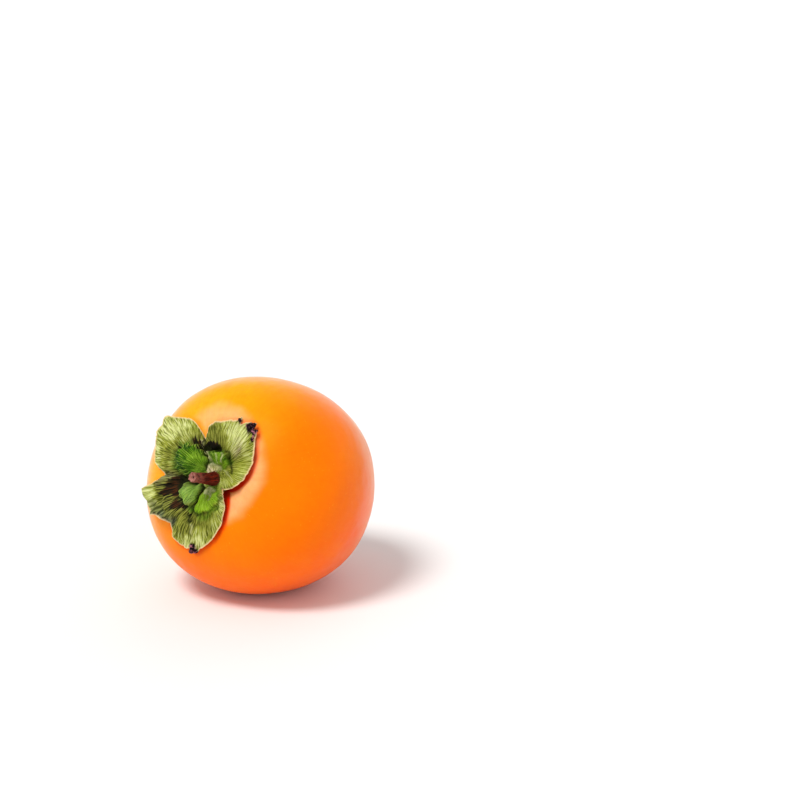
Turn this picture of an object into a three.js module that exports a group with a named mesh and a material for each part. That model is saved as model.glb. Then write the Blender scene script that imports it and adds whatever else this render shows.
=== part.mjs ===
// A whole ripe persimmon lying on its side: the fruit, its leafy calyx and the woody stub of its stem.
// Millimetres, +Z up. The origin is the middle of the small flat spot that the fruit rests on.
// The calyx faces -Y and a little upwards.
import * as THREE from "three";

// The fruit, in its own frame: +Z is its axis towards the calyx, and azimuth runs from +X towards +Y
const AXIS_LIFT_DEG = 20.5; // how far the calyx end looks up from level
const SKIN_RADII = [34.0, 39.5, 37.8, 38.2, 39.5]; // centre to skin at every 45 degrees, calyx to blossom end
const WIDER = 0.021; // share by which the fruit is wider one way across and narrower the other
const WIDEST_DEG = 18; // azimuth of the wider way
const FOUR_SIDED = 0.012; // share by which the four cheeks stand out
const HOLLOW_DEPTH = 6.0; // the dip that the calyx is set in
const HOLLOW_RADIUS = 9.0;
const STYLE_HEIGHT = 1.3; // the dry point left by the flower
const STYLE_RADIUS = 1.1;
const STYLE_RINGS = [1.5, 0.6, 0]; // where it is cut into rings, in its own radii
// The fruit's centre in the part's frame: the round side reaches 1.3 further down than the height here,
// which makes the flat spot, and the other two put the flat spot's middle at the origin.
const CENTRE = new THREE.Vector3(1.2, -2.2, 34.9);
const FLAT_BLEND = 0.45; // height over which the flat spot runs out into the skin
const FRUIT_COLUMNS = 64;
const FRUIT_RINGS = 36;

// The calyx. Reach runs along the skin from the fruit's axis.
const ARC_RADIUS = 36.0; // reach for each radian from the axis
const CLEARANCE = 0.35; // between the calyx and the skin
const BLADE = 0.9; // thickness of a lobe
const CORE_RADIUS = 4.0; // the pale disc that the stem stands in
const CORE_DIP = 2.0;
const CORE_DIP_RADIUS = 4.5;
const SOCKET_DEPTH = 2.5;
const SOCKET_FLARE = 0.1;
const EDGE_RIPPLE = 0.8;
const RISE_POWER = 1.3; // over 1 keeps the blade down near its inner fold
const RIDGE_SHARE = 0.65; // share of the blade's rise that its lengthwise folds make
const UNDERSIDE_LEAVES = 0.4; // shares of the reach between which the underside leaves the skin's form
const UNDERSIDE_FREE = 0.65;
const SWELL_LEAN = 1.3; // over 1 puts the crest of the inner fold nearer its outer end
const SWELL_ROOM = 5.0; // length that a fold needs for its full height
const COLUMN_DEG = 3.6;
const BLADE_RINGS = 12;

// Each lobe's outline is [azimuth, reach] in degrees and millimetres, notch to notch.
// swell is the height of its green inner fold and foldEnd the share of the reach where that ends.
// rise is how far the blade's edge stands off the skin, ridges the lengthwise folds across the blade,
// and waves the ripples along its edge.
const LOBES = [
  {
    name: "upper right",
    outline: [[-42, 5.2], [-24, 7.0], [-12, 8.6], [0, 10.3], [17, 13.2], [34, 16.0], [48, 18.4], [55, 20.8],
      [65, 21.9], [72, 20.9], [84, 20.1], [99, 19.4], [110, 18.0]],
    swell: 3.4, foldEnd: 0.47, rise: 0.8, ridges: 1, waves: 7,
  },
  {
    name: "upper left",
    outline: [[117, 14.6], [120, 17.0], [124, 20.6], [131, 23.6], [139, 26.0], [147, 28.8], [152, 28.6],
      [160, 26.2], [168, 26.8], [175, 25.0], [180, 22.4]],
    swell: 4.4, foldEnd: 0.55, rise: 3.2, ridges: 1, waves: 4,
  },
  {
    name: "lower left",
    outline: [[184, 20.4], [190, 21.6], [194, 23.8], [197, 26.2], [201, 25.4], [206, 27.2], [211, 26.0],
      [218, 22.8], [224, 22.0]],
    swell: 2.5, foldEnd: 0.5, rise: 4.6, ridges: 2, waves: 4,
  },
  {
    name: "lower",
    outline: [[230, 23.4], [236, 25.0], [243, 26.2], [250, 25.6], [254, 25.2], [258, 26.0], [264, 23.4],
      [272, 21.2], [280, 18.6], [288, 16.2], [296, 13.2], [304, 10.2], [311, 7.2]],
    swell: 3.8, foldEnd: 0.5, rise: 0.7, ridges: 1, waves: 6,
  },
];

// The stem stub
const STEM_LENGTH = 14.2;
const STEM_LEAN_DEG = 7.5;
const STEM_LEAN_AZIMUTH_DEG = 202;
const STEM_RADII = [2.6, 2.4, 1.95, 1.7, 1.55, 1.6]; // from its foot to its cut end, equally spaced
const STEM_GAP = 0.3; // between the stem and its socket
const STEM_RIB = 0.05; // share of the radius
const STEM_RIBS = 7;
const STEM_TWIST = 0.9; // radians from foot to end
const PITH_DEPTH = 0.7; // the dip in the cut end
const PITH_RIM = 0.8; // radius where the dip begins, as a share of the stem's
const PITH_SLOPE = [0.3, 0.6]; // share of the radius and of the depth, part way down
const STEM_COLUMNS = 21;
const STEM_RINGS = 10;

const COLOURS = { skin: 0xf58a12, calyx: 0x9bab52, stem: 0x84452c };

const radians = THREE.MathUtils.degToRad;
const STEM_LEAN = radians(STEM_LEAN_DEG);
const STEM_FOOT_RADIUS = STEM_RADII[0] * (1 + STEM_RIB);
const clamp01 = (x) => THREE.MathUtils.clamp(x, 0, 1);

// A closed surface from a grid of points: rows[0] and the last row are single points, the others closed
// rings with as many points each. Past row flipAfter the quads are split the other way, so that the under
// side of a thin sheet has the same triangles as its top.
function closedSurface(rows, flipAfter = Infinity) {
  const positions = rows.flat().flatMap((p) => p.toArray());
  const count = rows[1].length;
  const index = [];
  const at = (row, column) => 1 + (row - 1) * count + (column % count);
  const lastPoint = positions.length / 3 - 1;
  for (let column = 0; column < count; column += 1) {
    index.push(0, at(1, column), at(1, column + 1));
    index.push(lastPoint, at(rows.length - 2, column + 1), at(rows.length - 2, column));
    for (let row = 1; row < rows.length - 2; row += 1) {
      const a = at(row, column);
      const b = at(row + 1, column);
      const c = at(row + 1, column + 1);
      const d = at(row, column + 1);
      if (row < flipAfter) index.push(a, b, c, a, c, d);
      else index.push(a, b, d, b, c, d);
    }
  }
  const geometry = new THREE.BufferGeometry();
  geometry.setAttribute("position", new THREE.Float32BufferAttribute(positions, 3));
  geometry.setIndex(index);
  geometry.computeVertexNormals();
  return geometry;
}

function namedMesh(name, geometry, material) {
  const mesh = new THREE.Mesh(geometry, material);
  mesh.name = name;
  return mesh;
}

// The fruit's shape

// Cosine series whose sum passes through the radii at equal steps from 0 to 180 degrees.
function cosineSeries(radii) {
  const last = radii.length - 1;
  return radii.map((_, k) => {
    const inner = radii.slice(1, last).map((r, j) => r * Math.cos((Math.PI * (j + 1) * k) / last));
    const ends = (radii[0] + (k % 2 ? -1 : 1) * radii[last]) / 2;
    const sum = ends + inner.reduce((total, value) => total + value, 0);
    return (sum * (k === 0 || k === last ? 1 : 2)) / last;
  });
}
const SERIES = cosineSeries(SKIN_RADII);

// Distance from the fruit's centre to its rounded outer form, without the dip under the calyx.
function roundRadius(polar, azimuth) {
  const profile = SERIES.reduce((total, c, k) => total + c * Math.cos(k * polar), 0);
  const oval = WIDER * Math.cos(2 * (azimuth - radians(WIDEST_DEG)));
  const cheeks = -FOUR_SIDED * Math.cos(4 * azimuth);
  return profile * (1 + Math.sin(polar) ** 2 * (oval + cheeks));
}

function skinRadius(polar, azimuth) {
  const fromCalyx = (ARC_RADIUS * polar) / HOLLOW_RADIUS;
  const fromTip = (ARC_RADIUS * (Math.PI - polar)) / STYLE_RADIUS;
  const hollow = HOLLOW_DEPTH * Math.exp(-(fromCalyx ** 2));
  return roundRadius(polar, azimuth) - hollow + STYLE_HEIGHT * Math.exp(-(fromTip ** 2));
}

const pointAt = (polar, azimuth, radius) =>
  new THREE.Vector3(
    radius * Math.sin(polar) * Math.cos(azimuth),
    radius * Math.sin(polar) * Math.sin(azimuth),
    radius * Math.cos(polar),
  );

// Up, seen in the fruit's own frame.
const UP = new THREE.Vector3(0, Math.cos(radians(AXIS_LIFT_DEG)), Math.sin(radians(AXIS_LIFT_DEG)));

// Presses the underside flat at height 0 and lets the flat run out smoothly into the round skin.
function pressFlat(point) {
  const height = CENTRE.z + point.dot(UP);
  if (height >= FLAT_BLEND) return;
  const pressed = height <= -FLAT_BLEND ? 0 : (height + FLAT_BLEND) ** 2 / (4 * FLAT_BLEND);
  point.addScaledVector(UP, pressed - height);
}

function fruitGeometry() {
  const evenly = Array.from({ length: FRUIT_RINGS }, (_, ring) => (Math.PI * ring) / FRUIT_RINGS);
  const roundStyle = STYLE_RINGS.map((radii) => Math.PI - (radii * STYLE_RADIUS) / ARC_RADIUS);
  const polars = [...evenly, ...roundStyle];
  const rows = polars.map((polar, row) => {
    if (row === 0 || row === polars.length - 1) return [pointAt(polar, 0, skinRadius(polar, 0))];
    return Array.from({ length: FRUIT_COLUMNS }, (_, column) => {
      const azimuth = (2 * Math.PI * column) / FRUIT_COLUMNS;
      return pointAt(polar, azimuth, skinRadius(polar, azimuth));
    });
  });
  rows.flat().forEach(pressFlat);
  return closedSurface(rows);
}

// The calyx's shape

const SOCKET_FLOOR = roundRadius(0, 0) + CLEARANCE + BLADE - CORE_DIP - SOCKET_DEPTH;
const SOCKET_RADIUS = STEM_FOOT_RADIUS + SOCKET_DEPTH * Math.tan(STEM_LEAN) + STEM_GAP;
const OUTLINE = LOBES.flatMap((lobe) => lobe.outline);

// A smooth rise and fall through the outline's points, with no overshoot between them.
function reachAt(azimuthDeg) {
  const n = OUTLINE.length;
  const turns = Math.floor((azimuthDeg - OUTLINE[0][0]) / 360);
  const x = azimuthDeg - 360 * turns;
  const knot = (i) => {
    const lap = Math.floor(i / n);
    const [azimuth, reach] = OUTLINE[i - lap * n];
    return [azimuth + 360 * lap, reach];
  };
  let i = 0;
  while (knot(i + 1)[0] <= x) i += 1;
  const slope = (j) => (knot(j + 1)[1] - knot(j)[1]) / (knot(j + 1)[0] - knot(j)[0]);
  const tangent = (j) => {
    const before = slope(j - 1);
    const after = slope(j);
    return before * after <= 0 ? 0 : (2 * before * after) / (before + after);
  };
  const width = knot(i + 1)[0] - knot(i)[0];
  const s = (x - knot(i)[0]) / width;
  const [from, to] = [knot(i)[1], knot(i + 1)[1]];
  return (
    from * (1 + 2 * s) * (1 - s) ** 2 + to * s * s * (3 - 2 * s) +
    width * (tangent(i) * s * (1 - s) ** 2 - tangent(i + 1) * s * s * (1 - s))
  );
}

// The lobe that an azimuth falls in, and how far across it, from 0 to 1.
function lobeAt(azimuthDeg) {
  const first = OUTLINE[0][0];
  const x = azimuthDeg - 360 * Math.floor((azimuthDeg - first) / 360);
  const starts = [...LOBES.map((lobe) => lobe.outline[0][0]), first + 360];
  const k = starts.findIndex((start) => x < start) - 1;
  return { lobe: LOBES[k], across: (x - starts[k]) / (starts[k + 1] - starts[k]) };
}

// Height of the calyx's top above the round form of the fruit.
function topLift(azimuthDeg, arc, reach) {
  const { lobe, across } = lobeAt(azimuthDeg);
  const middle = Math.sin(Math.PI * across);
  const room = lobe.foldEnd * reach - CORE_RADIUS;
  const fold = room > 0 ? clamp01((arc - CORE_RADIUS) / room) : 0;
  const height = lobe.swell * Math.sqrt(middle) * THREE.MathUtils.smoothstep(room, 0, SWELL_ROOM);
  const swell = height * Math.sin(Math.PI * fold ** SWELL_LEAN);
  const outward = clamp01((arc / reach - lobe.foldEnd) / (1 - lobe.foldEnd));
  const ridge = (1 - Math.cos(2 * Math.PI * lobe.ridges * across)) / 2;
  const arch = THREE.MathUtils.lerp(middle, ridge, RIDGE_SHARE);
  const rise = lobe.rise * outward ** RISE_POWER * arch;
  const ripple = (EDGE_RIPPLE * outward ** 2 * (1 - Math.cos(2 * Math.PI * lobe.waves * across))) / 2;
  const dip = CORE_DIP * Math.exp(-((arc / CORE_DIP_RADIUS) ** 2));
  return CLEARANCE + BLADE - dip + swell + rise + ripple;
}

function calyxTop(azimuthDeg, arc, reach) {
  const [polar, azimuth] = [arc / ARC_RADIUS, radians(azimuthDeg)];
  return pointAt(polar, azimuth, roundRadius(polar, azimuth) + topLift(azimuthDeg, arc, reach));
}

// The underside follows the skin under the core and the blade's own top further out.
function calyxUnder(azimuthDeg, arc, reach) {
  const [polar, azimuth] = [arc / ARC_RADIUS, radians(azimuthDeg)];
  const onSkin = skinRadius(polar, azimuth) + CLEARANCE;
  const underBlade = roundRadius(polar, azimuth) + topLift(azimuthDeg, arc, reach) - BLADE;
  const outward = THREE.MathUtils.smoothstep(arc / reach, UNDERSIDE_LEAVES, UNDERSIDE_FREE);
  return pointAt(polar, azimuth, THREE.MathUtils.lerp(onSkin, underBlade, outward));
}

function calyxAzimuths() {
  const knots = [...OUTLINE.map(([azimuth]) => azimuth), OUTLINE[0][0] + 360];
  return knots.slice(0, -1).flatMap((from, i) => {
    const steps = Math.ceil((knots[i + 1] - from) / COLUMN_DEG);
    return Array.from({ length: steps }, (_, step) => from + ((knots[i + 1] - from) * step) / steps);
  });
}

function socketFloor(azimuthDeg, radius) {
  const azimuth = radians(azimuthDeg);
  return new THREE.Vector3(radius * Math.cos(azimuth), radius * Math.sin(azimuth), SOCKET_FLOOR);
}

function calyxGeometry() {
  const azimuths = calyxAzimuths();
  const ring = (point) => azimuths.map((azimuth) => point(azimuth, reachAt(azimuth)));
  const bladeArc = (reach, step) => CORE_RADIUS + ((reach - CORE_RADIUS) * step) / BLADE_RINGS;
  const rows = [[socketFloor(0, 0)]];
  rows.push(ring((azimuth) => socketFloor(azimuth, SOCKET_RADIUS)));
  rows.push(ring((azimuth, reach) => calyxTop(azimuth, SOCKET_RADIUS + SOCKET_FLARE, reach)));
  for (let step = 0; step <= BLADE_RINGS; step += 1) {
    rows.push(ring((azimuth, reach) => calyxTop(azimuth, bladeArc(reach, step), reach)));
  }
  const edge = rows.length;
  for (let step = BLADE_RINGS; step >= 0; step -= 1) {
    rows.push(ring((azimuth, reach) => calyxUnder(azimuth, bladeArc(reach, step), reach)));
  }
  rows.push(ring((azimuth, reach) => calyxUnder(azimuth, CORE_RADIUS / 2, reach)));
  rows.push([calyxUnder(0, 0, reachAt(0))]);
  return closedSurface(rows, edge);
}

// The stem's shape

function stemRadius(share, angle) {
  const steps = STEM_RADII.length - 1;
  const i = Math.min(Math.floor(share * steps), steps - 1);
  const radius = THREE.MathUtils.lerp(STEM_RADII[i], STEM_RADII[i + 1], share * steps - i);
  return radius * (1 + STEM_RIB * Math.cos(STEM_RIBS * (angle + STEM_TWIST * share)));
}

function stemGeometry() {
  const ring = (share, radiusShare, drop = 0) =>
    Array.from({ length: STEM_COLUMNS }, (_, column) => {
      const angle = (2 * Math.PI * column) / STEM_COLUMNS;
      const radius = stemRadius(share, angle) * radiusShare;
      const height = STEM_LENGTH * share - drop;
      return new THREE.Vector3(radius * Math.cos(angle), radius * Math.sin(angle), height);
    });
  const pith = [new THREE.Vector3(0, 0, STEM_LENGTH - PITH_DEPTH)];
  const rows = [pith, ring(1, PITH_SLOPE[0], PITH_DEPTH * PITH_SLOPE[1]), ring(1, PITH_RIM)];
  for (let step = STEM_RINGS; step >= 0; step -= 1) rows.push(ring(step / STEM_RINGS, 1));
  rows.push([new THREE.Vector3(0, 0, 0)]);
  return closedSurface(rows);
}

// The assembly

const skinMaterial = new THREE.MeshStandardMaterial({ color: COLOURS.skin, roughness: 0.38, metalness: 0 });
const calyxMaterial = new THREE.MeshStandardMaterial({ color: COLOURS.calyx, roughness: 0.7, metalness: 0 });
const stemMaterial = new THREE.MeshStandardMaterial({ color: COLOURS.stem, roughness: 0.75, metalness: 0 });

const leaningStem = new THREE.Group();
leaningStem.position.z = SOCKET_FLOOR + STEM_GAP + STEM_FOOT_RADIUS * Math.sin(STEM_LEAN);
const leanAzimuth = radians(STEM_LEAN_AZIMUTH_DEG);
const leanAxis = new THREE.Vector3(-Math.sin(leanAzimuth), Math.cos(leanAzimuth), 0);
leaningStem.quaternion.setFromAxisAngle(leanAxis, STEM_LEAN);
leaningStem.add(namedMesh("stem", stemGeometry(), stemMaterial));

const fruit = new THREE.Group();
fruit.rotation.x = radians(90 - AXIS_LIFT_DEG);
fruit.position.copy(CENTRE);
fruit.add(namedMesh("fruit_body", fruitGeometry(), skinMaterial));
fruit.add(namedMesh("calyx", calyxGeometry(), calyxMaterial));
fruit.add(leaningStem);

const persimmon = new THREE.Group();
persimmon.add(fruit);

export default persimmon;
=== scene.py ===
"""A ripe persimmon on its side, with waxy skin, a leafy calyx and a woody stub of stem.

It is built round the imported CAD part. Lengths are millimetres, turned into metres where Blender takes them.
Shapes are worked out in the fruit's own frame, whose +Z is the fruit's axis towards the calyx, and are then
turned into the part's frame. A place on the calyx is its azimuth in degrees and its arc from the middle.
"""

import math

import bpy
import numpy as np
from mathutils import Matrix, Vector


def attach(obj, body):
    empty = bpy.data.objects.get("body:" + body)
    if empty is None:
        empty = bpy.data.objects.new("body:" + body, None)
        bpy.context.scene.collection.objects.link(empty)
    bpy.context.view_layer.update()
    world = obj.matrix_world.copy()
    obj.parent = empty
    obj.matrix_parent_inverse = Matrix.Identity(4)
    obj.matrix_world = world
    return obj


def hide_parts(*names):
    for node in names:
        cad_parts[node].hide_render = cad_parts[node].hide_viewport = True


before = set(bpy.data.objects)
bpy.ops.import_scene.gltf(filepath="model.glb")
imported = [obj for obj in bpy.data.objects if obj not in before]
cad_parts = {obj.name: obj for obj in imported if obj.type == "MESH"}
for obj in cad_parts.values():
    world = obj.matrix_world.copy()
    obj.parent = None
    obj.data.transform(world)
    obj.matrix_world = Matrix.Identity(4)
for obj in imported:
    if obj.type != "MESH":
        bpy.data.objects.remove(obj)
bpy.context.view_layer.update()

# The fruit's form, the same as the CAD part's
MM = 0.001
AXIS_LIFT = math.radians(20.5)
SKIN_RADII = [34.0, 39.5, 37.8, 38.2, 39.5]
WIDER = 0.021
WIDEST = math.radians(18)
FOUR_SIDED = 0.012
HOLLOW_DEPTH = 6.0
HOLLOW_RADIUS = 9.0
STYLE_HEIGHT = 1.3
STYLE_RADIUS = 1.1
CENTRE = np.array([1.2, -2.2, 34.9])
FLAT_BLEND = 0.45
ARC_RADIUS = 36.0

# The calyx, the same as the CAD part's
CLEARANCE = 0.35
BLADE = 0.9
CORE_RADIUS = 4.0
CORE_DIP = 2.0
CORE_DIP_RADIUS = 4.5
SOCKET_DEPTH = 2.5
EDGE_RIPPLE = 0.8
RISE_POWER = 1.3
RIDGE_SHARE = 0.65
LOBES = [
    {
        "outline": [[-42, 5.2], [-24, 7.0], [-12, 8.6], [0, 10.3], [17, 13.2], [34, 16.0], [48, 18.4],
                    [55, 20.8], [65, 21.9], [72, 20.9], [84, 20.1], [99, 19.4], [110, 18.0]],
        "fold_end": 0.47, "rise": 0.8, "ridges": 1, "waves": 7, "tip": 64,
    },
    {
        "outline": [[117, 14.6], [120, 17.0], [124, 20.6], [131, 23.6], [139, 26.0], [147, 28.8],
                    [152, 28.6], [160, 26.2], [168, 26.8], [175, 25.0], [180, 22.4]],
        "fold_end": 0.55, "rise": 3.2, "ridges": 1, "waves": 4, "tip": 148,
    },
    {
        "outline": [[184, 20.4], [190, 21.6], [194, 23.8], [197, 26.2], [201, 25.4], [206, 27.2],
                    [211, 26.0], [218, 22.8], [224, 22.0]],
        "fold_end": 0.5, "rise": 4.6, "ridges": 2, "waves": 4, "tip": 204,
    },
    {
        "outline": [[230, 23.4], [236, 25.0], [243, 26.2], [250, 25.6], [254, 25.2], [258, 26.0],
                    [264, 23.4], [272, 21.2], [280, 18.6], [288, 16.2], [296, 13.2], [304, 10.2],
                    [311, 7.2]],
        "fold_end": 0.5, "rise": 0.7, "ridges": 1, "waves": 6, "tip": 256,
    },
]

# The stem, the same as the CAD part's
STEM_LENGTH = 14.2
STEM_LEAN = math.radians(7.5)
STEM_LEAN_AZIMUTH = math.radians(202)
STEM_RADII = [2.6, 2.4, 1.95, 1.7, 1.55, 1.6]
STEM_GAP = 0.3
STEM_RIB = 0.05
STEM_RIBS = 7
STEM_TWIST = 0.9
PITH_DEPTH = 0.7

# The fruit's own axes as the part's frame has them, and straight up as the fruit's own frame has it
X_WAY = np.array([1.0, 0.0, 0.0])
AXIS = np.array([0.0, -math.cos(AXIS_LIFT), math.sin(AXIS_LIFT)])
LOCAL_FRAME = np.stack([X_WAY, np.cross(AXIS, X_WAY), AXIS])
UP = np.array([0.0, math.cos(AXIS_LIFT), math.sin(AXIS_LIFT)])


def to_part(local):
    """Points of the fruit's own frame, in the part's frame and metres."""
    return (local @ LOCAL_FRAME + CENTRE) * MM


def smoothstep(x, low, high):
    t = np.clip((x - low) / (high - low), 0, 1)
    return t * t * (3 - 2 * t)


def lerp(a, b, t):
    return a + (b - a) * t


def bell(distance):
    return np.exp(-distance * distance)


def waves(points, wavelength, seed, count=16):
    """A smooth random field, about -1 to 1, whose hills are about a wavelength apart."""
    draw = np.random.default_rng(seed)
    ways = draw.normal(size=(count, points.shape[-1]))
    ways /= np.linalg.norm(ways, axis=1, keepdims=True)
    ways *= 2 * math.pi / wavelength * draw.uniform(0.7, 1.3, size=(count, 1))
    phases = draw.uniform(0, 2 * math.pi, size=count)
    total = sum(np.cos(points @ way + phase) for way, phase in zip(ways, phases))
    return total / math.sqrt(count)


def layered(points, layers):
    """The sum of several random fields, each given as (height, wavelength, seed)."""
    return sum(height * waves(points, wavelength, seed) for height, wavelength, seed in layers)


def near_azimuth(azimuth_deg, centre_deg, width_deg):
    """1 at one azimuth, and less with the distance round from it."""
    return bell(((azimuth_deg - centre_deg + 180) % 360 - 180) / width_deg)


# The fruit's skin

def cosine_series(radii):
    last = len(radii) - 1
    series = []
    for k in range(last + 1):
        ends = (radii[0] + (-1) ** k * radii[last]) / 2
        inner = sum(radii[j] * math.cos(math.pi * j * k / last) for j in range(1, last))
        series.append((ends + inner) * (1 if k in (0, last) else 2) / last)
    return series


SERIES = cosine_series(SKIN_RADII)


def round_radius(polar, azimuth):
    profile = sum(c * np.cos(k * polar) for k, c in enumerate(SERIES))
    oval = WIDER * np.cos(2 * (azimuth - WIDEST))
    cheeks = -FOUR_SIDED * np.cos(4 * azimuth)
    return profile * (1 + np.sin(polar) ** 2 * (oval + cheeks))


def hollow(polar):
    return HOLLOW_DEPTH * bell(ARC_RADIUS * polar / HOLLOW_RADIUS)


def skin_radius(polar, azimuth):
    tip = STYLE_HEIGHT * bell(ARC_RADIUS * (math.pi - polar) / STYLE_RADIUS)
    return round_radius(polar, azimuth) - hollow(polar) + tip


def point_at(polar, azimuth, radius):
    return np.stack([
        radius * np.sin(polar) * np.cos(azimuth),
        radius * np.sin(polar) * np.sin(azimuth),
        radius * np.cos(polar),
    ], axis=-1)


def press_flat(points):
    height = CENTRE[2] + points @ UP
    pressed = np.where(height <= -FLAT_BLEND, 0, (height + FLAT_BLEND) ** 2 / (4 * FLAT_BLEND))
    shift = np.where(height < FLAT_BLEND, pressed - height, 0)
    return points + shift[..., None] * UP


def add_to_scene(name, data):
    thing = bpy.data.objects.new(name, data)
    bpy.context.scene.collection.objects.link(thing)
    return thing


def closed_mesh(name, rows, attributes):
    """A smooth closed mesh from a grid of rings, whose first and last rows are each drawn to one point."""
    ring_count, columns = rows.shape[0] - 2, rows.shape[1]
    points = np.concatenate([rows[:1, 0], rows[1:-1].reshape(-1, 3), rows[-1:, 0]])
    at = 1 + np.arange(ring_count * columns).reshape(ring_count, columns)
    beside = np.roll(at, -1, axis=1)
    quads = np.stack([at[:-1], at[1:], beside[1:], beside[:-1]], axis=-1).reshape(-1, 4)
    last = len(points) - 1
    first_fan = np.stack([np.zeros(columns, int), at[0], beside[0]], axis=-1)
    last_fan = np.stack([np.full(columns, last), beside[-1], at[-1]], axis=-1)
    mesh = bpy.data.meshes.new(name)
    mesh.from_pydata(to_part(points).tolist(), [], quads.tolist() + first_fan.tolist() + last_fan.tolist())
    mesh.polygons.foreach_set("use_smooth", np.ones(len(mesh.polygons), bool))
    for label, values in attributes.items():
        flat = np.concatenate([values[:1, 0], values[1:-1].reshape(-1), values[-1:, 0]])
        mesh.attributes.new(label, "FLOAT", "POINT").data.foreach_set("value", flat.astype(np.float32))
    mesh.update()
    return add_to_scene(name, mesh)


def stacked(rings):
    """The values of all rings, one grid for each name."""
    return {name: np.stack([ring[name] for ring in rings]) for name in rings[0]}


# The calyx

OUTLINE = np.array([point for lobe in LOBES for point in lobe["outline"]], float)
FIRST = OUTLINE[0, 0]
STARTS = np.array([lobe["outline"][0][0] for lobe in LOBES] + [FIRST + 360], float)


def reach_at(azimuth_deg):
    """The outline as a smooth rise and fall through its points, with no overshoot between them."""
    x = FIRST + np.mod(azimuth_deg - FIRST, 360)
    xs = np.concatenate([OUTLINE[-2:, 0] - 360, OUTLINE[:, 0], OUTLINE[:3, 0] + 360])
    ys = np.concatenate([OUTLINE[-2:, 1], OUTLINE[:, 1], OUTLINE[:3, 1]])
    slopes = np.diff(ys) / np.diff(xs)
    product = slopes[:-1] * slopes[1:]
    total = slopes[:-1] + slopes[1:]
    tangents = np.where(product > 0, 2 * product / np.where(product > 0, total, 1), 0)
    tangents = np.concatenate([[0], tangents, [0]])
    i = np.searchsorted(xs, x, side="right") - 1
    width = xs[i + 1] - xs[i]
    s = (x - xs[i]) / width
    return (
        ys[i] * (1 + 2 * s) * (1 - s) ** 2 + ys[i + 1] * s * s * (3 - 2 * s)
        + width * (tangents[i] * s * (1 - s) ** 2 - tangents[i + 1] * s * s * (1 - s))
    )


def lobe_fields(azimuth_deg):
    """Each lobe's values at the azimuths, with how far across the lobe each one is, from 0 to 1."""
    x = FIRST + np.mod(azimuth_deg - FIRST, 360)
    k = np.searchsorted(STARTS, x, side="right") - 1
    fields = {key: np.array([lobe[key] for lobe in LOBES], float)[k]
              for key in ("fold_end", "rise", "ridges", "waves", "tip")}
    fields["across"] = (x - STARTS[k]) / (STARTS[k + 1] - STARTS[k])
    fields["index"] = k
    return fields


# The green inner folds: outline as (azimuth, arc), height at the root and at the outer end, and how far in
# from the outline they round off. The third of them is the pale ear below the stem
FOLDS = [
    [[(150, 16.6), (140, 15.6), (131, 13.2), (126, 10.0), (122, 7.0), (140, 5.0), (165, 5.0), (182, 7.4),
      (183, 11.6), (174, 15.2), (162, 16.8)], 1.4, 3.0, 4.6],
    [[(116, 8.9), (106, 9.3), (92, 9.5), (76, 9.6), (60, 9.0), (44, 7.2), (58, 5.4), (84, 4.6), (104, 5.4)],
     1.2, 2.8, 2.4],
    [[(199, 12.4), (195, 10.2), (200, 7.8), (212, 5.4), (226, 5.2), (235, 6.8), (239, 9.2), (237, 12.0),
      (226, 13.3), (212, 13.6)], 1.8, 2.9, 3.0],
    [[(240, 5.2), (262, 4.6), (290, 4.6), (301, 5.8), (294, 8.2), (284, 10.0), (268, 11.8), (254, 13.2),
      (244, 12.4), (242, 8.4)], 1.2, 2.1, 3.4],
]
EAR = 2

# Hollows and bumps of the blades: azimuth, arc, size and height
DENTS = [
    (198, 15.8, 3.2, -1.9), (221, 15.6, 2.2, -1.5), (209, 18.8, 1.8, 1.0), (196, 24.6, 1.8, 0.9),
    (205, 25.0, 1.6, 0.7), (136, 17.4, 2.0, 0.5), (106, 12.6, 2.2, 0.5), (244, 14.8, 0.9, -0.7),
    (246, 16.5, 0.9, 0.7), (276, 13.2, 1.8, -0.3),
]

# Creases between the folds: places along each as (azimuth, arc), then width, depth and darkness
# Painted shade: a crease's darkness is how dark the shade painted along it is
CREASES = [
    [[(128, 13.6), (126, 11.4), (123, 9.2), (118.5, 6.9), (134, 5.3), (165, 5.0)], 0.42, 1.1, 1.0],
    [[(154, 16.8), (163, 14.6), (171, 12.6), (180, 10.4), (192, 8.2)], 0.8, 0.7, 0.2],
    [[(122, 11.6), (113, 10.1), (102, 9.6), (90, 9.6), (80, 10.2)], 0.75, 0.9, 0.9],
    [[(68, 9.9), (56, 8.9), (44, 8.0), (30, 7.6), (14, 7.4)], 0.5, 0.7, 0.75],
    [[(206, 4.9), (220, 5.0), (232, 6.2), (239, 8.2), (240.5, 10.4), (239, 12.4)], 0.42, 1.1, 1.2],
    [[(186, 12.4), (188, 11.0), (192, 9.8), (200, 7.6), (212, 5.2)], 0.9, 1.2, 1.2],
    [[(190, 12.2), (198, 13.4), (210, 14.3), (222, 14.1), (232, 13.0)], 0.8, 1.0, 1.1],
    [[(244, 12.9), (256, 12.6), (268, 11.3), (282, 9.6), (297, 8.4)], 0.42, 0.4, 0.4],
    [[(241, 13.4), (240, 15.6), (246, 16.0), (252, 15.0)], 0.4, 0.5, 0.9],
    [[(182, 22.2), (182, 18.6), (181, 15.4), (183, 12.8)], 0.5, 0.6, 0.45],
]

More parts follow.
